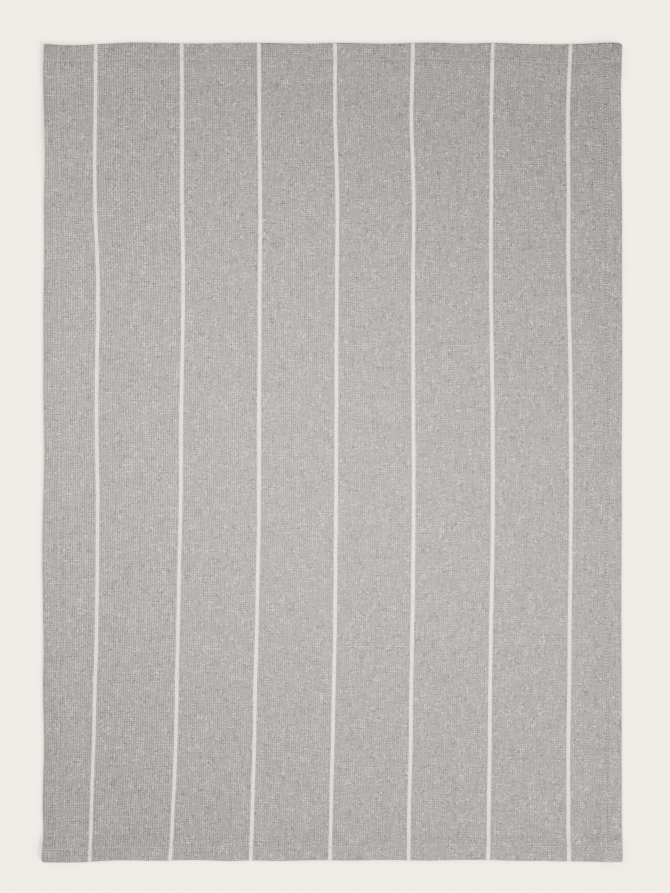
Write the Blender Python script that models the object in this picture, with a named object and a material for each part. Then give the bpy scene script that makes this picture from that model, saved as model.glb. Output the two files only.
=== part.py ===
"""A tea towel laid out flat: one sheet of plain-woven cloth, hemmed on all four sides.

Metres, +Z up. +X runs across the towel and +Y along it, and its stripes run along +Y.
The origin is on the surface that the towel lies on, under the middle of its box.
The cloth is one closed sheet: its face and its underside share the edge all round.
"""
import math

import bmesh
import bpy

MM = 0.001  # the sizes below are millimetres

# The towel
WIDTH = 495.3
LENGTH = 700.0
SHEET_THICKNESS = 1.1  # one layer of the cloth, with its slubs

# Each hem is the cloth turned twice to the back: three layers, sewn down near the inner
# fold. The ends are turned over the sides, so a corner has both thicknesses.
SIDE_HEM_RISE = 1.3  # what the turnings add along the two long sides
END_HEM_RISE = 1.2  # and along the two ends
HEM_STITCHES = 13.5  # from the edge to the line of stitches, where the cloth starts to drop
STITCH_SINK = 0.3  # how far the stitches pull the cloth down
STITCH_REACH = 1.5  # and how far to either side
HEM_WIDTH = 15.0  # from the edge to the inner fold, where the turnings end
FOLD_STEP = 0.4  # width of the step there, up to the one layer that leaves the turnings
LEFT_DROP_END = 40.0  # where that layer lies flat again, from each edge
RIGHT_DROP_END = 27.0
BOTTOM_DROP_END = 24.0
TOP_DROP_END = 38.0
EDGE_ROUND = 1.5  # width of the round roll along the outer edge

# Grid lines: close together over each hem, and even between the hems
HEM_LINES = (
    0.0, 0.4, EDGE_ROUND, HEM_STITCHES - STITCH_REACH, HEM_STITCHES,
    HEM_WIDTH, HEM_WIDTH + FOLD_STEP,
)
LINES_ACROSS = 19  # spaces between the two side hems
LINES_ALONG = 28  # spaces between the two end hems

# How far each edge swings out of straight: (place along the edge, swing outwards)
LEFT_SWING = (
    (-350, 1.8), (-322, 0.2), (-305, 0.8), (-255, -0.4), (-205, 0.5), (-170, 0.1),
    (-85, 1.1), (0, -0.5), (45, 0.2), (85, 0.1), (172, -0.5), (255, -1.3), (318, 0.3),
    (350, -0.5),
)
RIGHT_SWING = (
    (-350, 0.4), (-200, -0.1), (-127, -0.3), (0, -0.2), (87, 0.4), (215, 0.3),
    (241, -0.3), (318, -0.6), (350, 0.2),
)
TOP_SWING = (
    (-248, -0.6), (-222, -1.8), (-172, 0.7), (-121, -0.2), (-70, 0.5), (-19, -0.2),
    (2, 0.3), (53, -0.2), (84, 0.6), (115, -0.2), (197, -0.8), (240, 0.5), (248, 0.2),
)
BOTTOM_SWING = (
    (-248, 1.2), (-234, 1.4), (-183, -0.1), (-105, -0.5), (-60, -0.3), (12, -0.3),
    (53, -0.8), (88, -0.3), (135, -0.8), (187, 0.3), (238, 0.9), (248, 0.8),
)
SWING_REACH = 90.0  # how far in from the edge its swing fades away

# Radius of each corner, by the signs of X and Y there
CORNER_RADIUS = {(-1, -1): 2.6, (1, -1): 1.5, (-1, 1): 1.5, (1, 1): 3.4}

# Where the cloth stands off the surface. Each soft ridge has its middle, its half length
# and half width, its turn from +X in degrees, and its height.
RIDGES = (
    # name, x, y, half_length, half_width, turn, height
    ("half fold", 0, 9, 300, 13, 0, 0.55),
    ("half fold pucker, left", -98, 13, 26, 11, 6, 0.45),
    ("half fold pucker, right", 60, 7, 30, 10, -5, 0.4),
    ("half fold pucker, edge", -184, -8, 24, 12, 12, 0.4),
    ("quarter fold", 20, -178, 170, 16, 2, 0.35),
    ("middle ripple", -21, 70, 44, 26, 80, 0.45),
    ("upper ripple", -45, 150, 60, 30, 75, 0.4),
    ("left flute", -80, -283, 85, 13, 90, 0.8),
    ("right flute", 127, -318, 52, 26, 84, 0.9),
    ("corner ridge", -206, -290, 66, 16, -46, 0.9),
    ("lifted left edge", -250, 276, 60, 34, 90, 2.2),
    ("lifted right edge", 250, 160, 60, 26, 90, 0.9),
)

CLOTH_COLOUR = (0.45, 0.425, 0.415, 1.0)
CLOTH_ROUGHNESS = 0.9


def ease(t):
    """A smooth step from 0 to 1 as t runs from 0 to 1."""
    t = min(max(t, 0.0), 1.0)
    return t * t * (3.0 - 2.0 * t)


def swing_at(table, place):
    """The swing of an edge at one place, eased between the table's places."""
    for (start, swing), (end, next_swing) in zip(table, table[1:]):
        if place <= end:
            return swing + (next_swing - swing) * ease((place - start) / (end - start))
    return table[-1][1]


def grid_lines(size, low_drop_end, high_drop_end, spaces):
    """Straight grid lines from one edge to the other, for one direction."""
    half = size / 2.0
    low = [-half + line for line in HEM_LINES]
    start, end = low_drop_end - half, half - high_drop_end
    middle = [start + (end - start) * i / spaces for i in range(spaces + 1)]
    return low + middle + [-line for line in reversed(low)]


def lift_at(x, y):
    """How far the cloth stands off the surface."""
    lift = 0.0
    for _, middle_x, middle_y, half_length, half_width, turn, height in RIDGES:
        angle = math.radians(turn)
        along = (x - middle_x) * math.cos(angle) + (y - middle_y) * math.sin(angle)
        across = (y - middle_y) * math.cos(angle) - (x - middle_x) * math.sin(angle)
        far = (along / half_length) ** 2 + (across / half_width) ** 2
        if far < 1.0:
            lift += height * (1.0 - far) ** 2
    return lift


def hem_rise(distance, rise, drop_end):
    """How far a hem raises the cloth's face, at a distance in from its edge."""
    return rise * (1.0 - ease((distance - HEM_STITCHES) / (drop_end - HEM_STITCHES)))


def side_rise(x):
    """How far the nearer side hem raises the face."""
    drop_end = LEFT_DROP_END if x < 0.0 else RIGHT_DROP_END
    return hem_rise(WIDTH / 2.0 - abs(x), SIDE_HEM_RISE, drop_end)


def end_rise(y):
    """How far the nearer end hem raises the face."""
    drop_end = BOTTOM_DROP_END if y < 0.0 else TOP_DROP_END
    return hem_rise(LENGTH / 2.0 - abs(y), END_HEM_RISE, drop_end)


def stitch_sink(distance):
    """How far the stitches pull the cloth's face down, at a distance in from its edge."""
    return STITCH_SINK * max(1.0 - abs(distance - HEM_STITCHES) / STITCH_REACH, 0.0)


def face_height(x, y):
    """The height of the cloth's face over the surface it lies on, where it lies flat."""
    side_sink = stitch_sink(WIDTH / 2.0 - abs(x))
    end_sink = stitch_sink(LENGTH / 2.0 - abs(y))
    return SHEET_THICKNESS + side_rise(x) + end_rise(y) - max(side_sink, end_sink)


def underside_height(x, y):
    """The height of its underside: only past the inner fold does it leave the surface.

    The end hems close over the side hems, so no side fold shows under them.
    """
    if LENGTH / 2.0 - abs(y) <= HEM_WIDTH:
        return 0.0
    if WIDTH / 2.0 - abs(x) <= HEM_WIDTH:
        return end_rise(y)
    return end_rise(y) + side_rise(x)


def edge_openness(distance):
    """0 at the edge, where face and underside meet, and 1 past its round roll."""
    reach = min(distance / EDGE_ROUND, 1.0)
    return math.sqrt(1.0 - (1.0 - reach) ** 2)


def outline_place(x, y):
    """The place on the laid-out towel of a point on the straight rectangle."""
    left_share = 1.0 - ease((x + WIDTH / 2.0) / SWING_REACH)
    right_share = 1.0 - ease((WIDTH / 2.0 - x) / SWING_REACH)
    bottom_share = 1.0 - ease((y + LENGTH / 2.0) / SWING_REACH)
    top_share = 1.0 - ease((LENGTH / 2.0 - y) / SWING_REACH)
    swung_x = x - left_share * swing_at(LEFT_SWING, y) + right_share * swing_at(RIGHT_SWING, y)
    swung_y = y - bottom_share * swing_at(BOTTOM_SWING, x) + top_share * swing_at(TOP_SWING, x)
    return swung_x, swung_y


def round_corner(x, y):
    """Draw a point near a square corner in, so that the corner is a round one."""
    sign_x = 1 if x > 0 else -1
    sign_y = 1 if y > 0 else -1
    radius = CORNER_RADIUS[(sign_x, sign_y)]
    out_x = 1.0 - (WIDTH / 2.0 - abs(x)) / radius
    out_y = 1.0 - (LENGTH / 2.0 - abs(y)) / radius
    if out_x <= 0.0 or out_y <= 0.0:
        return x, y
    draw = 1.0 - max(out_x, out_y) / math.hypot(out_x, out_y)
    return x - sign_x * out_x * radius * draw, y - sign_y * out_y * radius * draw


def cloth_point(x, y, side):
    """A point of the cloth: side is 1 on the face, -1 on the underside."""
    top = face_height(x, y)
    bottom = underside_height(x, y)
    openness = edge_openness(min(WIDTH / 2.0 - abs(x), LENGTH / 2.0 - abs(y)))
    height = lift_at(x, y) + (top + bottom) / 2.0 + side * openness * (top - bottom) / 2.0
    place_x, place_y = outline_place(*round_corner(x, y))
    return place_x * MM, place_y * MM, height * MM


def add_face_and_underside(mesh):
    """Two grids of quads, the face and the underside, that share the edge all round."""
    across = grid_lines(WIDTH, LEFT_DROP_END, RIGHT_DROP_END, LINES_ACROSS)
    along = grid_lines(LENGTH, BOTTOM_DROP_END, TOP_DROP_END, LINES_ALONG)
    last_column = len(across) - 1
    last_row = len(along) - 1
    face = {}
    underside = {}
    for column, x in enumerate(across):
        for row, y in enumerate(along):
            face[column, row] = mesh.verts.new(cloth_point(x, y, 1))
            if column in (0, last_column) or row in (0, last_row):
                underside[column, row] = face[column, row]
            else:
                underside[column, row] = mesh.verts.new(cloth_point(x, y, -1))
    for column in range(last_column):
        for row in range(last_row):
            ring = ((column, row), (column + 1, row), (column + 1, row + 1), (column, row + 1))
            mesh.faces.new([face[corner] for corner in ring])
            mesh.faces.new([underside[corner] for corner in reversed(ring)])


def centre_on_box(mesh):
    """Move the sheet so that the middle of its box is over the origin."""
    for axis in (0, 1):
        places = [vert.co[axis] for vert in mesh.verts]
        middle = (min(places) + max(places)) / 2.0
        for vert in mesh.verts:
            vert.co[axis] -= middle


def cloth_material():
    """Heathered grey cloth, dull all over."""
    material = bpy.data.materials.new("grey_cloth")
    material.use_nodes = True
    shader = material.node_tree.nodes["Principled BSDF"]
    shader.inputs["Base Color"].default_value = CLOTH_COLOUR
    shader.inputs["Roughness"].default_value = CLOTH_ROUGHNESS
    shader.inputs["Metallic"].default_value = 0.0
    return material


def build_towel():
    """The whole towel: one sheet, hems and all."""
    mesh = bmesh.new()
    add_face_and_underside(mesh)
    centre_on_box(mesh)
    data = bpy.data.meshes.new("towel_cloth")
    mesh.to_mesh(data)
    mesh.free()
    data.shade_smooth()
    data.materials.append(cloth_material())
    towel = bpy.data.objects.new("towel_cloth", data)
    bpy.context.scene.collection.objects.link(towel)
    return towel


def clear_scene():
    """Start from an empty scene."""
    for item in list(bpy.data.objects):
        bpy.data.objects.remove(item, do_unlink=True)


clear_scene()
build_towel()
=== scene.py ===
import math

import bpy
import numpy as np
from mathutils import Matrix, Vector


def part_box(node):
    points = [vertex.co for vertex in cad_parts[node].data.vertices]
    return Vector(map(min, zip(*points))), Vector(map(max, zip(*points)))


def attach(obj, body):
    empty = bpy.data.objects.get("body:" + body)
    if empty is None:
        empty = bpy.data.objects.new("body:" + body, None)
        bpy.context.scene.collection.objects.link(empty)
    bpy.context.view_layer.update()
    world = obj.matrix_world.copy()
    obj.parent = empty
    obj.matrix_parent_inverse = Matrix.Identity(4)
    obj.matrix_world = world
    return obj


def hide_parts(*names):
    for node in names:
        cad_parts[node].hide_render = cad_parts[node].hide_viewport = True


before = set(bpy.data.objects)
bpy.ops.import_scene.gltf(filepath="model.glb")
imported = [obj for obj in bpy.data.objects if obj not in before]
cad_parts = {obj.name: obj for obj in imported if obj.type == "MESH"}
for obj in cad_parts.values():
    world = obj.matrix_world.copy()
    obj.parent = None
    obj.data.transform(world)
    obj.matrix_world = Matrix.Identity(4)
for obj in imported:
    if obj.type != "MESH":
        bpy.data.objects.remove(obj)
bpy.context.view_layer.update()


# ---- The cloth -----------------------------------------------------------------------
# One rectangle of coarse plain-woven cloth, laid face up. Each edge is turned twice to
# the back, 11 mm and then 15 mm, and sewn down: first the two long sides over their full
# length, then the two ends over them, so that a corner is nine layers, pressed thin.
MM = 0.001

WIDTH = 495.3  # over the side hems
LENGTH = 700.0  # over the end hems
LAYER = 0.75  # thickness of one layer
LAYER_PITCH = 1.04  # from one layer to the next, in layer thicknesses
HEM_WIDTH = 15.0  # from the edge to the inner fold, on the whole
SEAM_MARGIN = 1.6  # from the line of stitches to the inner fold
DROP_MARGIN = 0.8  # from there to where the face starts to come down to lie flat
LEFT_DROP, RIGHT_DROP, BOTTOM_DROP, TOP_DROP = 26.0, 14.0, 10.0, 24.0  # and over how far
LEFT_CROWN, RIGHT_CROWN, BOTTOM_CROWN, TOP_CROWN = 0.03, 0.38, 0.26, 0.03  # extra fullness
CROWN_PLACE = 0.7  # where across a hem it stands fullest, as a share of the way to its seam
CROWN_REACH = 5.0
CORNER_FADE = 10.0  # the sides' fullness fades away over this before the end hems
STITCH_PRESS = 0.14  # share of the thickness that the stitches press out
STITCH_REACH = 2.2  # how far from them most of that fades away
STITCH_LIFT = 0.12  # the back is drawn up by this much along them
CORNER_PRESS = 0.42  # share that the iron presses out where the hems cross

WARP_PITCH = 0.9  # from one lengthwise thread to the next, which lie in pairs
WEFT_PITCH = 0.96  # and from one crosswise thread to the next

# The white stripes, from left to right. Each is four lengthwise threads, two pairs.
STRIPES = (
    # threads from the towel's middle, place of the stripe on the straight cloth
    (-222, -202.0), (-148, -130.1), (-72, -62.8), (4, 3.1), (80, 69.0), (156, 136.7),
    (230, 203.4),
)
EDGE_THREADS = (-270, 278)  # at the left and right edges
STRIPE_WIDTH = 2.8
STRIPE_RISE = 0.16  # their yarn is thicker: share added to the thickness
STRIPE_REACH = 0.6  # from the middle of each pair of its threads

# How far the towel lies out of straight. The sides and stripes are read up the towel,
# and the ends from left to right. Each swing is outwards, and each drift to the right.
LEFT_SWING = (
    # place, swing
    (-350, 1.8), (-341, 1.2), (-324, 0.2), (-305, 0.8), (-280, 0.4), (-255, -0.4),
    (-205, 0.5), (-170, 0.1), (-127, 0.6), (-85, 1.1), (-40, 0.3), (0, -0.5), (45, 0.2),
    (85, 0.1), (130, 0.2), (172, -0.5), (215, -0.2), (255, -1.3), (292, -0.4),
    (318, 0.3), (350, -0.5),
)
RIGHT_SWING = (
    # place, swing
    (-350, 0.4), (-300, 0.1), (-200, -0.1), (-127, -0.3), (-40, 0.0), (0, -0.2),
    (45, 0.3), (87, 0.4), (172, 0.2), (215, 0.3), (241, -0.3), (267, -0.1),
    (318, -0.6), (350, 0.2),
)
TOP_SWING = (
    # place, swing
    (-248, -0.6), (-222, -1.8), (-204, -0.9), (-172, 0.7), (-121, -0.2), (-70, 0.5),
    (-19, -0.2), (2, 0.3), (53, -0.2), (84, 0.6), (115, -0.2), (135, 0.4), (166, -0.5),
    (197, -0.8), (228, 0.2), (240, 0.5), (248, 0.2),
)
BOTTOM_SWING = (
    # place, swing
    (-248, 1.2), (-234, 1.4), (-204, 1.1), (-183, -0.1), (-142, 0.0), (-105, -0.5),
    (-80, 0.2), (-60, -0.3), (-40, 0.1), (-8, -0.6), (12, -0.3), (53, -0.8), (88, -0.3),
    (105, -0.7), (135, -0.8), (146, -0.4), (187, 0.3), (218, 0.7), (238, 0.9), (248, 0.8),
)
STRIPE_DRIFT = (
    # place, then the drift of each stripe from left to right
    (-350, -6.1, -9.3, -7.5, -5.5, -4.3, -4.0, -1.4),
    (-283, -4.0, -5.7, -5.4, -4.1, -3.1, -2.9, -1.8),
    (-173, -0.8, -3.0, -2.9, -1.5, -1.4, -1.6, -0.8),
    (-64, 0.6, -0.6, -0.6, -0.5, 0.2, 0.1, 0.3),
    (46, -0.3, 0.5, -0.4, 0.0, -0.1, 0.0, 0.3),
    (155, 0.6, 2.0, 0.4, 0.4, -0.2, -1.4, -1.7),
    (210, -1.6, 1.1, 0.6, 0.8, 0.3, -1.0, -1.6),
    (292, -1.5, 0.9, -0.1, -1.2, -1.6, -0.9, -2.0),
    (350, -0.8, 0.9, -0.6, -1.2, -0.5, 0.3, 0.0),
)
SWING_REACH = 90.0  # how far in from an end its swing fades away

# How far in from the edge each hem is sewn, which sets how wide it is
LEFT_SEAM = ((-350, 13.6), (0, 13.7), (350, 13.6))  # (place, distance)
RIGHT_SEAM = (
    # place, distance
    (-350, 11.8), (-310, 11.6), (-230, 12.3), (-150, 13.1), (0, 13.0), (44, 12.1),
    (90, 13.0), (350, 13.2),
)
TOP_SEAM = ((-248, 13.7), (110, 13.8), (135, 14.0), (170, 15.7), (195, 16.8), (248, 16.6))
BOTTOM_SEAM = (
    # place, distance
    (-248, 12.0), (-143, 12.0), (-60, 11.6), (10, 12.2), (71, 13.7), (129, 13.8),
    (175, 13.1), (248, 14.2),
)
CORNER_RADIUS = {(-1, -1): 2.6, (1, -1): 1.5, (-1, 1): 1.5, (1, 1): 3.4}

# Where the cloth stands off the surface, as left by folding and smoothing out by hand
RIDGES = (
    # name, x, y, half_length, half_width, turn, height
    ("half fold", 0, 9, 300, 13, 0, 0.55),
    ("half fold pucker, left", -98, 13, 26, 11, 6, 0.45),
    ("half fold pucker, right", 60, 7, 30, 10, -5, 0.4),
    ("half fold pucker, edge", -184, -8, 24, 12, 12, 0.4),
    ("quarter fold", 20, -178, 170, 16, 2, 0.35),
    ("middle ripple", -21, 70, 44, 26, 80, 0.45),
    ("upper ripple", -45, 150, 60, 30, 75, 0.4),
    ("left flute", -80, -283, 85, 13, 90, 0.8),
    ("right flute", 127, -318, 52, 26, 84, 0.9),
    ("corner ridge", -206, -290, 66, 16, -46, 0.9),
    ("lifted left edge", -250, 276, 60, 34, 90, 2.2),
    ("lifted right edge", 250, 160, 60, 26, 90, 0.9),
    ("right hem", 238, 40, 90, 16, 90, 0.7),
    ("top edge", 0, 352, 420, 12, 0, 0.5),
    ("bottom edge", 60, -352, 200, 40, 0, 1.0),
)
UNEVENNESS = (
    # wavelength, direction in degrees, height of a faint wave that runs all over
    (61.0, 12.0, 0.05),
    (43.0, 74.0, 0.05),
    (88.0, -38.0, 0.07),
    (34.0, -83.0, 0.03),
)
PUCKERS = ((11.0, 0.07), (7.3, 0.05), (17.0, 0.06))  # wavelength, height along the hems
PUCKER_REACH = 5.0

# Grid lines over a hem, by how far each is outside the finished edge along the cloth
HEM_LINES = (
    -26.0, -23.6, -21.6, -20.0, -18.5, -17.1, -15.8, -14.7, -13.4, -12.1, -9.0, -5.0,
    -3.2, -2.2, -1.7, -1.25, -0.8, -0.35, 0.1, 0.55, 1.0, 1.45, 1.9, 2.5, 4.5, 8.0, 11.0,
    12.5, 13.6, 14.1, 14.5, 14.9, 15.3, 15.7, 16.2, 17.4, 20.5, 26.0,
)
# How the lines move with the width of the hem: line, share of the width's difference
LINE_SHIFT = (
    (-60.0, 0.0), (-26.0, -1.0), (-11.5, -1.0), (-3.0, 0.0), (2.5, 0.0), (11.0, 1.0),
)
STRIPE_LINES = (-2.4, -1.55, -0.78, 0.0, 0.78, 1.55, 2.4)  # grid lines over a stripe
PANEL_SPACE = 5.6  # between the lines of a plain panel
ROW_SPACE = 3.95  # and between the lines across the towel


def ease(t):
    """A smooth step from 0 to 1 as t runs from 0 to 1."""
    t = np.clip(t, 0.0, 1.0)
    return t * t * (3.0 - 2.0 * t)


def bell(distance, reach):
    """1 in the middle, and almost 0 at twice the reach."""
    return np.exp(-((distance / reach) ** 2))


def follow(table, column, at):
    """A smooth curve through one column of a short table, read at many places."""
    places = np.array([row[0] for row in table], float)
    values = np.array([row[column] for row in table], float)
    slopes = np.gradient(values, places)
    left = np.clip(np.searchsorted(places, at) - 1, 0, len(places) - 2)
    gap = places[left + 1] - places[left]
    t = np.clip((at - places[left]) / gap, 0.0, 1.0)
    start = values[left] + t * gap * slopes[left] * (1.0 - t)
    end = values[left + 1] - (1.0 - t) * gap * slopes[left + 1] * t
    return start + (end - start) * ease(t)


def side_hem(x, y):
    """Where the nearer side hem is sewn, from its edge, and then its drop and crown."""
    y = np.clip(y, -LENGTH / 2.0, LENGTH / 2.0)
    seam = np.where(x < 0.0, follow(LEFT_SEAM, 1, y), follow(RIGHT_SEAM, 1, y))
    crown = np.where(x < 0.0, LEFT_CROWN, RIGHT_CROWN)
    crown = crown * ease((LENGTH / 2.0 - np.abs(y) - HEM_WIDTH) / CORNER_FADE)
    drop = np.where(x < 0.0, LEFT_DROP, RIGHT_DROP)
    return seam, drop, crown


def end_hem(x, y):
    """The same for the nearer end hem."""
    x = np.clip(x, -WIDTH / 2.0, WIDTH / 2.0)
    seam = np.where(y < 0.0, follow(BOTTOM_SEAM, 1, x), follow(TOP_SEAM, 1, x))
    drop = np.where(y < 0.0, BOTTOM_DROP, TOP_DROP)
    return seam, drop, np.where(y < 0.0, BOTTOM_CROWN, TOP_CROWN)


def hem_share(distance, hem):
    """1 over the turnings and 0 inside the hem, from the distance in from the edge."""
    seam, drop, _ = hem
    return 1.0 - ease((distance - seam - DROP_MARGIN) / drop)


def turn_hem(place, height, slab, edge, hem):
    """Turn a slab of cloth twice to the back past both ends of one direction.

    place is how far a point lies from the middle along the cut cloth, height how far
    above the slab's underside, and edge where the finished edge comes.
    """
    pitch = slab * LAYER_PITCH
    offset = height - slab / 2.0
    fold_start = edge - pitch - slab / 2.0
    path = np.abs(place) - fold_start
    back_start = math.pi * pitch
    back_run = hem[0] + SEAM_MARGIN - 1.5 * pitch - slab
    outer = np.clip(path / pitch, 0.0, math.pi)
    inner = np.clip((path - back_start - back_run) * 2.0 / pitch, 0.0, math.pi)
    back = np.clip(path - back_start, 0.0, back_run)
    tucked = np.maximum(path - back_start - back_run - math.pi * pitch / 2.0, 0.0)
    turned = fold_start + np.minimum(path, 0.0) - back + tucked
    turned += (pitch + offset) * np.sin(outer) - (pitch / 2.0 + offset) * np.sin(inner)
    raised = slab / 2.0 + pitch + (pitch + offset) * np.cos(outer)
    raised += (pitch / 2.0 + offset) * (1.0 - np.cos(inner))
    distance = edge - np.minimum(turned, edge)
    raised -= 2.0 * pitch * (1.0 - hem_share(distance, hem))
    raised *= 1.0 + hem[2] * bell(distance - CROWN_PLACE * hem[0], CROWN_REACH)
    return np.sign(place) * turned, raised


def seam_bell(x, y, reach):
    """1 along the lines of stitches, and almost 0 at twice the reach from them."""
    side = WIDTH / 2.0 - np.abs(x) - side_hem(x, y)[0]
    end = LENGTH / 2.0 - np.abs(y) - end_hem(x, y)[0]
    return np.maximum(bell(side, reach), bell(end, reach))


def pressed(cut_x, x, y):
    """The thickness of one layer at a point of the cloth that has been laid at x, y."""
    pair_place = STRIPE_WIDTH / 4.0
    stripe = sum(
        bell(np.abs(cut_x - place) - pair_place, STRIPE_REACH) for _, place in STRIPES
    )
    corner = hem_share(WIDTH / 2.0 - np.abs(x), side_hem(x, y))
    corner = corner * hem_share(LENGTH / 2.0 - np.abs(y), end_hem(x, y))
    thickness = LAYER * (1.0 + STRIPE_RISE * stripe) * (1.0 - CORNER_PRESS * corner)
    return thickness * (1.0 - STITCH_PRESS * seam_bell(x, y, STITCH_REACH))


def fold_hems(cut_x, cut_y, level):
    """Fold the side hems and then the end hems. level is 0 at the back, 1 at the face.

    The first round finds where the cloth comes to lie, and so where it is pressed thin.
    """
    layer = np.full(np.shape(cut_x), LAYER)
    for _ in range(2):
        hem = side_hem(cut_x, cut_y)
        x, height = turn_hem(cut_x, layer * level, layer, WIDTH / 2.0, hem)
        stack = layer * (1.0 + 2.0 * LAYER_PITCH * hem_share(WIDTH / 2.0 - np.abs(x), hem))
        y, height = turn_hem(cut_y, height, stack, LENGTH / 2.0, end_hem(x, cut_y))
        layer = pressed(cut_x, x, y)
    return x, y, height, layer


def round_corners(x, y):
    """Draw the four corners in to their own small radius."""
    for (sign_x, sign_y), radius in CORNER_RADIUS.items():
        out_x = np.clip(1.0 - (WIDTH / 2.0 - sign_x * x) / radius, 0.0, None)
        out_y = np.clip(1.0 - (LENGTH / 2.0 - sign_y * y) / radius, 0.0, None)
        length = np.maximum(np.hypot(out_x, out_y), 1e-9)
        draw = (1.0 - np.maximum(out_x, out_y) / length) * radius
        x = x - sign_x * out_x * draw
        y = y - sign_y * out_y * draw
    return x, y


def out_of_straight(x, y):
    """Move the straight towel to how it lies, edges and stripes."""
    lines = np.array([-WIDTH / 2.0, *(place for _, place in STRIPES), WIDTH / 2.0])
    drifts = [-follow(LEFT_SWING, 1, y)]
    drifts += [follow(STRIPE_DRIFT, 1 + stripe, y) for stripe in range(len(STRIPES))]
    drifts += [follow(RIGHT_SWING, 1, y)]
    left = np.clip(np.searchsorted(lines, x) - 1, 0, len(lines) - 2)
    share = np.clip((x - lines[left]) / (lines[left + 1] - lines[left]), 0.0, 1.0)
    drifts = np.array(drifts)
    point = np.arange(x.size)
    drift = drifts[left, point] * (1.0 - share) + drifts[left + 1, point] * share
    top = 1.0 - ease((LENGTH / 2.0 - y) / SWING_REACH)
    bottom = 1.0 - ease((LENGTH / 2.0 + y) / SWING_REACH)
    swing = top * follow(TOP_SWING, 1, x) - bottom * follow(BOTTOM_SWING, 1, x)
    return x + drift, y + swing


def lift(x, y):
    """How far the cloth stands off the surface."""
    total = np.zeros(np.shape(x))
    for _, middle_x, middle_y, half_length, half_width, turn, height in RIDGES:
        angle = math.radians(turn)
        along = (x - middle_x) * math.cos(angle) + (y - middle_y) * math.sin(angle)
        across = (y - middle_y) * math.cos(angle) - (x - middle_x) * math.sin(angle)
        far = np.minimum((along / half_length) ** 2 + (across / half_width) ** 2, 1.0)
        total += height * (1.0 - far) ** 2
    for wavelength, turn, height in UNEVENNESS:
        angle = math.radians(turn)
        phase = (x * math.cos(angle) + y * math.sin(angle)) * 2.0 * math.pi / wavelength
        total += height * (0.5 + 0.5 * np.sin(phase + wavelength))
    near_seam = seam_bell(x, y, PUCKER_REACH)
    for wavelength, height in PUCKERS:
        beat = 2.0 * math.pi / wavelength
        wave = np.sin(y * beat + x) + np.sin(x * beat + y)
        total += height * near_seam * (0.5 + 0.25 * wave)
    return total + STITCH_LIFT * seam_bell(x, y, STITCH_REACH)


def lay_cloth(cut_x, cut_y, level):
    """Where a point of the cut cloth comes to lie, in millimetres, and its layer there."""
    x, y, height, layer = fold_hems(cut_x, cut_y, level)
    height = height + lift(x, y)
    x, y = out_of_straight(*round_corners(x, y))
    return np.stack([x, y, height], axis=-1), layer


def panel_lines():
    """Lines over the stripes, and even ones across the plain panels between them."""
    stops = [-WIDTH / 2.0 - HEM_LINES[0]]
    lines = []
    for _, place in STRIPES:
        stops += [place + STRIPE_LINES[0], place + STRIPE_LINES[-1]]
        lines += [place + line for line in STRIPE_LINES]
    stops.append(-stops[0])
    for start, end in zip(stops[::2], stops[1::2]):
        spaces = round((end - start) / PANEL_SPACE)
        lines += list(np.linspace(start, end, spaces + 1)[1:-1])
    return sorted(lines)


def row_lines():
    """Even lines across the towel between the end hems."""
    inner = LENGTH / 2.0 + HEM_LINES[0]
    return list(np.linspace(-inner, inner, round(2.0 * inner / ROW_SPACE) + 1)[1:-1])


def cut_lines(edge, inside):
    """All grid lines of one direction: the hems' lines at both ends, and those inside."""
    outer = [edge + line for line in HEM_LINES]
    return np.array([-line for line in reversed(outer)] + inside + outer)


def widen(lines, edge, seam):
    """Move grid lines so that they stay on the folds of a wider or narrower hem."""
    shift_lines, shares = np.array(LINE_SHIFT).T
    share = np.interp(np.abs(lines) - edge, shift_lines, shares)
    return lines + np.sign(lines) * share * (seam + SEAM_MARGIN - HEM_WIDTH)


def deselect_all():
    for item in bpy.context.selected_objects:
        item.select_set(False)


def new_piece(name):
    """Name the object that has just been added, and give it back."""
    piece = bpy.context.active_object
    piece.name = piece.data.name = name
    return piece


across = cut_lines(WIDTH / 2.0, panel_lines())
along = cut_lines(LENGTH / 2.0, row_lines())
deselect_all()
bpy.ops.mesh.primitive_grid_add(x_subdivisions=len(across) - 1, y_subdivisions=len(along) - 1)
towel = new_piece("towel")
plain_x, plain_y = (grid.ravel() for grid in np.meshgrid(across, along))
cut_x = widen(plain_x, WIDTH / 2.0, side_hem(plain_x, plain_y)[0])
cut_y = widen(plain_y, LENGTH / 2.0, end_hem(plain_x, plain_y)[0])
laid, layer = lay_cloth(cut_x, cut_y, 0.5)

# The middle of the laid towel comes over the middle of its solid
solid_low, solid_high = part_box("towel_cloth")
middle = (laid.min(axis=0) + laid.max(axis=0)) / 2.0
shift = np.array([(solid_low.x + solid_high.x) / 2.0, (solid_low.y + solid_high.y) / 2.0, 0.0])
shift = shift / MM - np.array([middle[0], middle[1], 0.0])
towel.data.vertices.foreach_set("co", ((laid + shift) * MM).astype(np.float32).ravel())

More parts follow.
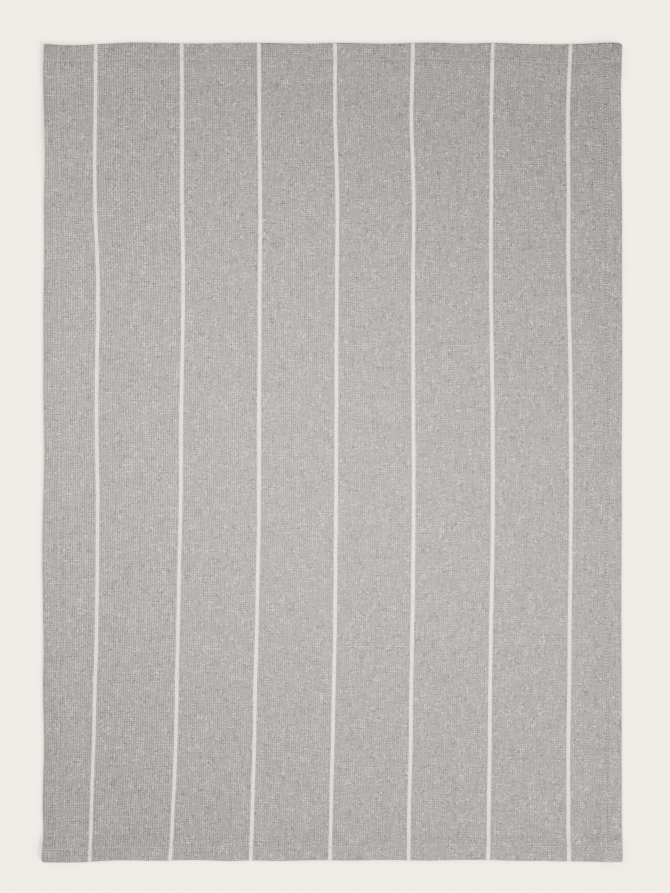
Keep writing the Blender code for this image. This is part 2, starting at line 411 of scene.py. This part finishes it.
# The UV map counts threads from the middle of the cloth, so the weave turns with it
stripe_threads = [EDGE_THREADS[0]]
stripe_places = [-WIDTH / 2.0]
for thread, place in STRIPES:
    stripe_threads += [thread - 2, thread + 2]
    stripe_places += [place - STRIPE_WIDTH / 2.0, place + STRIPE_WIDTH / 2.0]
stripe_threads.append(EDGE_THREADS[1])
stripe_places.append(WIDTH / 2.0)
past_edge = np.sign(cut_x) * np.maximum(np.abs(cut_x) - WIDTH / 2.0, 0.0)
warp = np.interp(cut_x, stripe_places, stripe_threads) + past_edge / WARP_PITCH
thread_map = towel.data.uv_layers.active
thread_map.name = "threads"
side_map = towel.data.uv_layers.new(name="side_hem")
end_map = towel.data.uv_layers.new(name="end_hem")
corner_vertex = np.zeros(len(towel.data.loops), np.int32)
towel.data.loops.foreach_get("vertex_index", corner_vertex)
from_side_seam = WIDTH / 2.0 - np.abs(cut_x) - side_hem(cut_x, cut_y)[0]
from_end_seam = LENGTH / 2.0 - np.abs(cut_y) - end_hem(cut_x, cut_y)[0]
for uv_map, first, second in (
    (thread_map, warp, cut_y / WEFT_PITCH),
    (side_map, from_side_seam, cut_y),  # millimetres across and along the stitches
    (end_map, from_end_seam, cut_x),
):
    places = np.stack([first, second], axis=-1)[corner_vertex]
    uv_map.data.foreach_set("uv", places.astype(np.float32).ravel())
towel.data.update()

thickest = layer.max()
thickness_group = towel.vertex_groups.new(name="thickness")
for index, share in enumerate(layer / thickest):
    thickness_group.add([index], float(share), "REPLACE")
solid = towel.modifiers.new("thickness", "SOLIDIFY")
solid.thickness = float(thickest) * MM
solid.offset = 0.0
solid.vertex_group = "thickness"
bpy.ops.object.modifier_apply(modifier=solid.name)
bpy.ops.object.shade_smooth()


class Shade:
    """One output of a material's nodes, so that sums on outputs are written in Python."""

    def __init__(self, tree, output=None):
        self.tree = tree
        self.output = output

    def node(self, kind, settings=None, inputs=None, output=0):
        """Add a node of any kind. inputs are values or other outputs, by name or number."""
        made = self.tree.nodes.new("ShaderNode" + kind)
        for name, value in (settings or {}).items():
            setattr(made, name, value)
        for name, value in (inputs or {}).items():
            self.feed(made.inputs[name], value)
        return Shade(self.tree, made.outputs[output])

    def feed(self, socket, value):
        """Link or set an input."""
        if isinstance(value, Shade):
            self.tree.links.new(value.output, socket)
        else:
            socket.default_value = value

    def math(self, operation, *others):
        """One sum on this and any others."""
        return self.node("Math", {"operation": operation}, dict(enumerate((self, *others))))

    def __add__(self, other):
        return self.math("ADD", other)

    __radd__ = __add__

    def __sub__(self, other):
        return self.math("SUBTRACT", other)

    def __rsub__(self, other):
        return self.node("Math", {"operation": "SUBTRACT"}, {0: other, 1: self})

    def __mul__(self, other):
        return self.math("MULTIPLY", other)

    __rmul__ = __mul__

    def __truediv__(self, other):
        return self.math("DIVIDE", other)

    def __pow__(self, other):
        return self.math("POWER", other)

    def __abs__(self):
        return self.math("ABSOLUTE")

    def step(self, start, end):
        """0 up to start and 1 from end, smooth between them."""
        inputs = {"Value": self, "From Min": start, "From Max": end}
        return self.node("MapRange", {"interpolation_type": "SMOOTHSTEP"}, inputs)

    def blend(self, low, high):
        """From colour low to colour high as this runs from 0 to 1."""
        return self.node("Mix", {"data_type": "RGBA"}, {0: self, 6: low, 7: high}, output=2)

    def noise(self, y, seed, detail=0.0):
        """Smooth noise about 0.5, a blob to each unit of this and y. Each seed is another."""
        place = self.node("CombineXYZ", inputs={0: self, 1: y, 2: seed})
        return self.node("TexNoise", inputs={"Vector": place, "Scale": 1.0, "Detail": detail})

    def scatter(self, y, seed):
        """A random number from 0 to 1 for each whole number of this and y."""
        place = self.node("CombineXYZ", inputs={0: self, 1: y, 2: seed})
        return self.node("TexWhiteNoise", inputs={"Vector": place})


def new_material(name, piece):
    """Give a piece a new material. Returns its shader node, and a Shade to add nodes."""
    material = bpy.data.materials.new(name)
    material.use_nodes = True
    piece.data.materials.append(material)
    return material.node_tree.nodes["Principled BSDF"], Shade(material.node_tree)


GREY = (0.201, 0.179, 0.172)  # the grey yarn, on the whole
DARKEST, LIGHTEST = 0.2, 2.8  # the ends of its tones, as shares of that
WHITE = (1.0, 0.9, 0.86, 1.0)
WHITE_SHADE = (0.5, 0.45, 0.43, 1.0)  # painted shade between the white threads and where they go under
HOLE_SHADE = (0.09, 0.084, 0.08, 1.0)  # painted shade in the needle's holes
WEAVE_DEPTH = 0.25 * MM  # from the tops of the threads to the pits between them
STITCH_PITCH = 2.6

PAIRED_TO, LOOSE_FROM = -250.0, 280.0  # threads between which the pairs grow looser
LOOSER = 0.5  # by this share
PAIR_DRAW = 0.12  # how far the two threads of a pair draw together, in threads
WARP_WANDER, WEFT_WANDER = 0.8, 1.6  # how far the threads wander, in threads

# Heights over the pits between the threads, as shares of the weave's depth
CROSSING_RISE = 0.28  # of what goes over, and fall of what goes under
STRIPE_BULGE = 0.44  # of the thicker white threads
STRIPE_DRAW = 0.14  # less this where the pairs are close
FIBRE_RISE = 0.25
STRIPE_SMOOTH = 0.55  # the white yarn is smoother, by this share
HOLE_DEPTH = 1.2

# How strongly each cause makes the grey paler or darker, as a power of e. The yarn's blend,
# streaks, tufts and fibres are its own tone; the grooves, gaps and thread tops are painted
# light and shade
END_TONE, PICK_TONE = 0.9, 0.62  # the blend in one lengthwise or crosswise thread
STREAK_TONE = 11.0  # the few much paler or darker stretches of a crosswise thread
FLECK_TONE = 1.08  # single pale or dark tufts
FIBRE_TONE = 0.3
RIB_SHADE = 0.36  # painted shade in the grooves between the pairs
GAP_SHADE = 0.28  # painted shade in every second gap between the crosswise threads, in patches
HEIGHT_LIGHT_AND_SHADE = 0.25  # painted light on the tops of the threads, painted shade in the pits between them
PLAINEST, PATCH_RANGE = 0.55, 0.6  # some patches are plainer than others
MEAN_TONE = 0.87  # brings all that back to the grey

# How open the needle's holes are, which sets how deep they dent and how dark their painted
# shade is
SIDE_HOLE, END_HOLE = 2.2, 0.5
HOLE_DRAW = 1.1  # the side's are less open by this where the pairs are close
HOLE_SHADE_SHARE = 0.65

cloth_shader, nodes = new_material("woven cloth", towel)
threads = nodes.node("UVMap", {"uv_map": "threads"})
warp = nodes.node("SeparateXYZ", inputs={0: threads})
weft = nodes.node("SeparateXYZ", inputs={0: threads}, output=1)

# The threads wander a little, and the lengthwise ones lie in pairs, closer to the left.
# Each noise is as many threads long and wide as it is divided by.
ribs = 1.0 - LOOSER * warp.step(PAIRED_TO, LOOSE_FROM)
warp = warp + WARP_WANDER * ((warp / 11.0).noise(weft / 60.0, 1.0) - 0.5)
weft = weft + WEFT_WANDER * ((warp / 50.0).noise(weft / 9.0, 2.0) - 0.5)
warp = warp - PAIR_DRAW * ribs * (warp * math.pi).math("SINE")
end = warp.math("FLOOR")
pick = weft.math("FLOOR")

# The white threads, up to two to each side of the middle of a stripe
stripe = abs(warp - STRIPES[0][0])
for thread, _ in STRIPES[1:]:
    stripe = stripe.math("MINIMUM", abs(warp - thread))
white = 1.0 - stripe.step(1.9, 2.1)

# Each thread is a rounded ridge, thicker in some places than in others, and a pair goes
# over one crosswise thread and under the next. A thread's number, multiplied up, gives it
# a place of its own in the noise.
pair_wave = (warp * (math.pi / 2.0)).math("SINE")
warp_wave = abs((warp * math.pi).math("SINE"))
weft_wave = (weft * math.pi).math("SINE")
crossing = pair_wave * weft_wave
warp_size = (end * 5.37).noise(weft / 16.0, 3.0, 1.0)
weft_size = (warp / 14.0).noise(pick * 4.91, 4.0, 1.0)
warp_height = warp_wave ** 0.6 * (0.1 + 0.4 * warp_size) + 0.4 * abs(pair_wave) ** 0.5
warp_height = warp_height + CROSSING_RISE * crossing
warp_height = warp_height + (STRIPE_BULGE - STRIPE_DRAW * ribs) * white
weft_height = abs(weft_wave) ** 0.7 * (0.36 + 0.5 * weft_size) - CROSSING_RISE * crossing
warp_shows = (warp_height - weft_height).step(-0.08, 0.08)
height = warp_height.math("MAXIMUM", weft_height)

# The grey is a blend of paler and darker fibres, so every thread has its own tone. Painted
# shade darkens the grooves and gaps between the threads, and painted light lightens their tops
patch = (warp / 8.0).noise(weft / 9.0, 11.0).step(0.34, 0.66)
end_tone = (end * 3.71).noise(weft / 16.0, 5.0, 1.0) - 0.5
pick_tone = (warp / 9.0).noise(pick * 3.13, 6.0, 1.0) - 0.5
fleck = 2.0 * end.scatter(pick, 7.0) - 1.0
bulge = (warp_wave * abs(weft_wave)) ** 0.35
fibre = (warp * 2.5).noise(weft * 2.5, 8.0, 1.0) - 0.5
# Painted shade in the grooves between the pairs and in every second gap between the crosswise
# threads
rib = ribs * (warp * math.pi).math("COSINE")
gap = (warp / 18.0).noise(weft / 11.0, 12.0).step(0.45, 0.6) * (weft * math.pi).math("COSINE")
tone_and_shade = END_TONE * end_tone + PICK_TONE * pick_tone + STREAK_TONE * pick_tone ** 3.0
tone_and_shade = tone_and_shade + FLECK_TONE * fleck ** 3.0 * bulge
tone_and_shade = tone_and_shade + FIBRE_TONE * fibre - RIB_SHADE * rib - GAP_SHADE * gap
# Painted light on the tops of the threads, painted shade in the pits between them
tone_and_shade = (PLAINEST + PATCH_RANGE * patch) * tone_and_shade + HEIGHT_LIGHT_AND_SHADE * height
tone_and_shade = MEAN_TONE * tone_and_shade.math("EXPONENT")
darkest = (*(DARKEST * part for part in GREY), 1.0)
lightest = (*(LIGHTEST * part for part in GREY), 1.0)
grey = ((tone_and_shade - DARKEST) / (LIGHTEST - DARKEST)).blend(darkest, lightest)

# Painted shade darkens the white between its threads and where they go under, among paler and
# darker fibres and tufts; the white shows where the threads go over
white_tone_and_shade = (height + 0.6 * crossing + 0.8 * fibre + 0.6 * fleck).step(-0.1, 1.1)
colour = (white * warp_shows).blend(grey, white_tone_and_shade.blend(WHITE_SHADE, WHITE))

# The needle's holes, between the stitches of each hem, most open in the right one: dented, and
# darkened with painted shade
side_seam = nodes.node("UVMap", {"uv_map": "side_hem"})
end_seam = nodes.node("UVMap", {"uv_map": "end_hem"})
holes = 0.0
for seam, hole in ((side_seam, SIDE_HOLE - HOLE_DRAW * ribs), (end_seam, END_HOLE)):
    across_seam = nodes.node("SeparateXYZ", inputs={0: seam})
    along_seam = nodes.node("SeparateXYZ", inputs={0: seam}, output=1)
    beat = 0.5 - 0.5 * (along_seam * (2.0 * math.pi / STITCH_PITCH)).math("COSINE")
    holes = holes + hole * (1.0 - abs(across_seam).step(0.3, 0.9)) * beat.step(0.4, 0.9)
# Painted shade in the needle's holes
colour = (HOLE_SHADE_SHARE * holes).blend(colour, HOLE_SHADE)

nodes.feed(cloth_shader.inputs["Base Color"], colour)
cloth_shader.inputs["Roughness"].default_value = 0.9
cloth_shader.inputs["Sheen Weight"].default_value = 0.12
cloth_shader.inputs["Sheen Roughness"].default_value = 0.5
relief = (height + FIBRE_RISE * fibre) * (1.0 - STRIPE_SMOOTH * white) - HOLE_DEPTH * holes
bump = nodes.node("Bump", inputs={"Height": relief, "Distance": WEAVE_DEPTH})
nodes.feed(cloth_shader.inputs["Normal"], bump)

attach(towel, "root")
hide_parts("towel_cloth")


# ---- The stitches ---------------------------------------------------------------------
# One row of lockstitches along each hem, in a cotton thread a little paler than the
# cloth. It goes through all layers, so a row shows on the face and one on the back.
THREAD_COLOUR = (0.45, 0.418, 0.405, 1.0)
THREAD_RADIUS = 0.25
THREAD_SIDES = 6
STITCH_LENGTH = 1.9  # what shows of it
THREAD_BENDS = (
    # place along the stitch as a share of its length, height of the thread's middle
    (-0.5, -0.2), (-0.34, 0.1), (0.0, 0.16), (0.34, 0.1), (0.5, -0.2),
)
BACK_FLATNESS = 0.5  # on the back the thread is pressed flat, as the towel lies on it
TURN_USE = (math.pi - 2.0) * LAYER * LAYER_PITCH - LAYER  # cloth that the fold at an edge uses
SIDE_REACH = LENGTH / 2.0 + HEM_WIDTH - 1.0  # sewn first, these rows turn over the ends
SIDE_BACK_REACH = LENGTH / 2.0 - HEM_WIDTH - 1.0  # where the end hems begin to cover them
END_REACH = WIDTH / 2.0 - 0.5
ROWS = (
    # is it on a side hem, is it on the back, how far it reaches from the edge's middle
    (True, False, SIDE_REACH),
    (True, True, SIDE_BACK_REACH),
    (False, False, END_REACH),
    (False, True, END_REACH),
)

# One stitch in millimetres, its length along Y: a thread that bows up out of the cloth
deselect_all()
bpy.ops.mesh.primitive_circle_add(
    vertices=THREAD_SIDES,
    radius=THREAD_RADIUS,
    fill_type="NGON",
    calc_uvs=False,
    location=(0.0, THREAD_BENDS[0][0] * STITCH_LENGTH, THREAD_BENDS[0][1]),
    rotation=(math.pi / 2.0, math.pi / THREAD_SIDES, 0.0),
)
stitch = new_piece("stitch")
bpy.ops.object.transform_apply()
bpy.ops.object.mode_set(mode="EDIT")
for (along, up), (next_along, next_up) in zip(THREAD_BENDS, THREAD_BENDS[1:]):
    move = (0.0, (next_along - along) * STITCH_LENGTH, next_up - up)
    bpy.ops.mesh.extrude_region_move(TRANSFORM_OT_translate={"value": move})
bpy.ops.object.mode_set(mode="OBJECT")


def sew_row(side, on_side_hem, on_back, reach):
    """Copy the stitch along a straight row, and lay that on the cloth along its hem."""
    row = stitch.copy()
    row.data = stitch.data.copy()
    bpy.context.scene.collection.objects.link(row)
    deselect_all()
    row.select_set(True)
    bpy.context.view_layer.objects.active = row
    from_middle = int(reach / STITCH_PITCH)
    copies = row.modifiers.new("copies", "ARRAY")
    copies.count = 2 * from_middle + 1
    copies.use_relative_offset = False
    copies.use_constant_offset = True
    copies.constant_offset_displace = (0.0, STITCH_PITCH, 0.0)
    bpy.ops.object.modifier_apply(modifier=copies.name)

    straight = np.zeros(3 * len(row.data.vertices), np.float32)
    row.data.vertices.foreach_get("co", straight)
    sideways, run, upward = straight.reshape(-1, 3).astype(float).T
    run = run - from_middle * STITCH_PITCH
    level = 1.0 + upward * (BACK_FLATNESS if on_back else 1.0) / LAYER
    sides = np.full(run.size, side)
    seam = (side_hem(sides, run) if on_side_hem else end_hem(run, sides))[0]
    past_edge = seam + TURN_USE if on_back else -seam
    across = side * ((WIDTH if on_side_hem else LENGTH) / 2.0 + past_edge + sideways)
    laid, _ = lay_cloth(across, run, level) if on_side_hem else lay_cloth(run, across, level)
    row.data.vertices.foreach_set("co", ((laid + shift) * MM).astype(np.float32).ravel())
    return row


rows = [sew_row(side, *row) for side in (-1.0, 1.0) for row in ROWS]
bpy.data.objects.remove(stitch)
for row in rows:
    row.select_set(True)
bpy.ops.object.join()
stitches = new_piece("hem_stitches")
bpy.ops.object.mode_set(mode="EDIT")
bpy.ops.mesh.select_all(action="SELECT")
bpy.ops.mesh.normals_make_consistent(inside=False)
bpy.ops.object.mode_set(mode="OBJECT")
bpy.ops.object.shade_smooth()

thread_shader, _ = new_material("sewing thread", stitches)
thread_shader.inputs["Base Color"].default_value = THREAD_COLOUR
thread_shader.inputs["Roughness"].default_value = 0.65

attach(stitches, "root")


# ---- The floor, the lights and the camera ---------------------------------------------
# A pale studio floor under the towel, seen from straight above. It is lit brighter than
# the towel is, by lights of its own. So the towel gets the light that comes back from
# below from another floor, just under the first, that doesn't show.
FLOOR_SIZE = 40.0  # metres
FLOOR_COLOUR = (0.90, 0.85, 0.79, 1.0)
BOUNCE_DEPTH = 0.2
SKY_COLOUR = (1.0, 0.99, 0.975, 1.0)
SKY_STRENGTH = 0.44
NEUTRAL = (1.0, 1.0, 1.0)
DAYLIGHT = (1.0, 0.995, 0.98)
WARM = (1.0, 0.90, 0.76)
CENTRE = (0.0, 0.0, 0.0)
TOWEL_LIGHTS = (
    # name, place, what it points at, watts, size, colour
    ("key", (1.1, -1.2, 1.1), CENTRE, 74.2, 0.9, DAYLIGHT),
    ("overhead left", (-0.2, 0.1, 0.4), (-0.2, 0.1, 0.0), 2.44, 0.3, NEUTRAL),
    ("overhead right", (0.05, -0.05, 0.4), (0.05, -0.05, 0.0), 2.94, 0.3, NEUTRAL),
)
FLOOR_LIGHTS = (
    # name, place, strength, angle
    ("floor key", (1.2, -1.0, 1.0), 23.0, 0.8),
    ("floor fill", (-1.1, 1.2, 0.9), 12.6, 1.3),
)
LENS = 85.0
SENSOR = 36.0
PHOTO_HEIGHT = 893.0  # pixels
TOWEL_IN_PHOTO = 817.2  # the towel's length in pixels of the photograph
CAMERA_X, CAMERA_Y = 2.5, 5.25  # so that the towel comes where it is in the photograph

deselect_all()
bpy.ops.mesh.primitive_plane_add(size=FLOOR_SIZE)
floor = new_piece("floor")
floor_shader, _ = new_material("floor", floor)
floor_shader.inputs["Base Color"].default_value = FLOOR_COLOUR
floor_shader.inputs["Roughness"].default_value = 1.0
floor_shader.inputs["Specular IOR Level"].default_value = 0.0
floor.visible_diffuse = False
floor.visible_shadow = False

bounce = floor.copy()
bounce.name = "floor_bounce"
bounce.location.z = -BOUNCE_DEPTH * MM
bounce.visible_camera = False
bounce.visible_diffuse = True
bpy.context.scene.collection.objects.link(bounce)

world = bpy.data.worlds.new("studio")
world.use_nodes = True
world.node_tree.nodes["Background"].inputs["Color"].default_value = SKY_COLOUR
world.node_tree.nodes["Background"].inputs["Strength"].default_value = SKY_STRENGTH
bpy.context.scene.world = world


def lit_group(name, members):
    """A group of objects that some lights reach."""
    group = bpy.data.collections.new(name)
    for member in members:
        group.objects.link(member)
    return group


def add_light(name, kind, place, target, lit, energy, colour, **settings):
    """Add a light at a place, turned to a target."""
    lamp = bpy.data.lights.new(name, kind)
    lamp.energy = energy
    lamp.color = colour
    for setting, value in settings.items():
        setattr(lamp, setting, value)
    light = bpy.data.objects.new(name, lamp)
    light.location = place
    light.rotation_euler = (Vector(target) - Vector(place)).to_track_quat("-Z", "Y").to_euler()
    light.visible_camera = False
    light.light_linking.receiver_collection = lit
    bpy.context.scene.collection.objects.link(light)


towel_lit = lit_group("towel lit", (towel, stitches, bounce))
floor_lit = lit_group("floor lit", (floor,))
for name, place, target, watts, size, colour in TOWEL_LIGHTS:
    add_light(name, "AREA", place, target, towel_lit, watts, colour, size=size)
for name, place, strength, angle in FLOOR_LIGHTS:
    add_light(name, "SUN", place, CENTRE, floor_lit, strength, WARM, angle=angle)

pixel = LENGTH * MM / TOWEL_IN_PHOTO  # of the photograph, at the towel
camera = bpy.data.objects.new("camera", bpy.data.cameras.new("camera"))
camera.data.lens = LENS
camera.data.sensor_width = SENSOR
camera.location = (CAMERA_X * MM, CAMERA_Y * MM, PHOTO_HEIGHT * pixel * LENS / SENSOR)
bpy.context.scene.collection.objects.link(camera)
bpy.context.scene.camera = camera
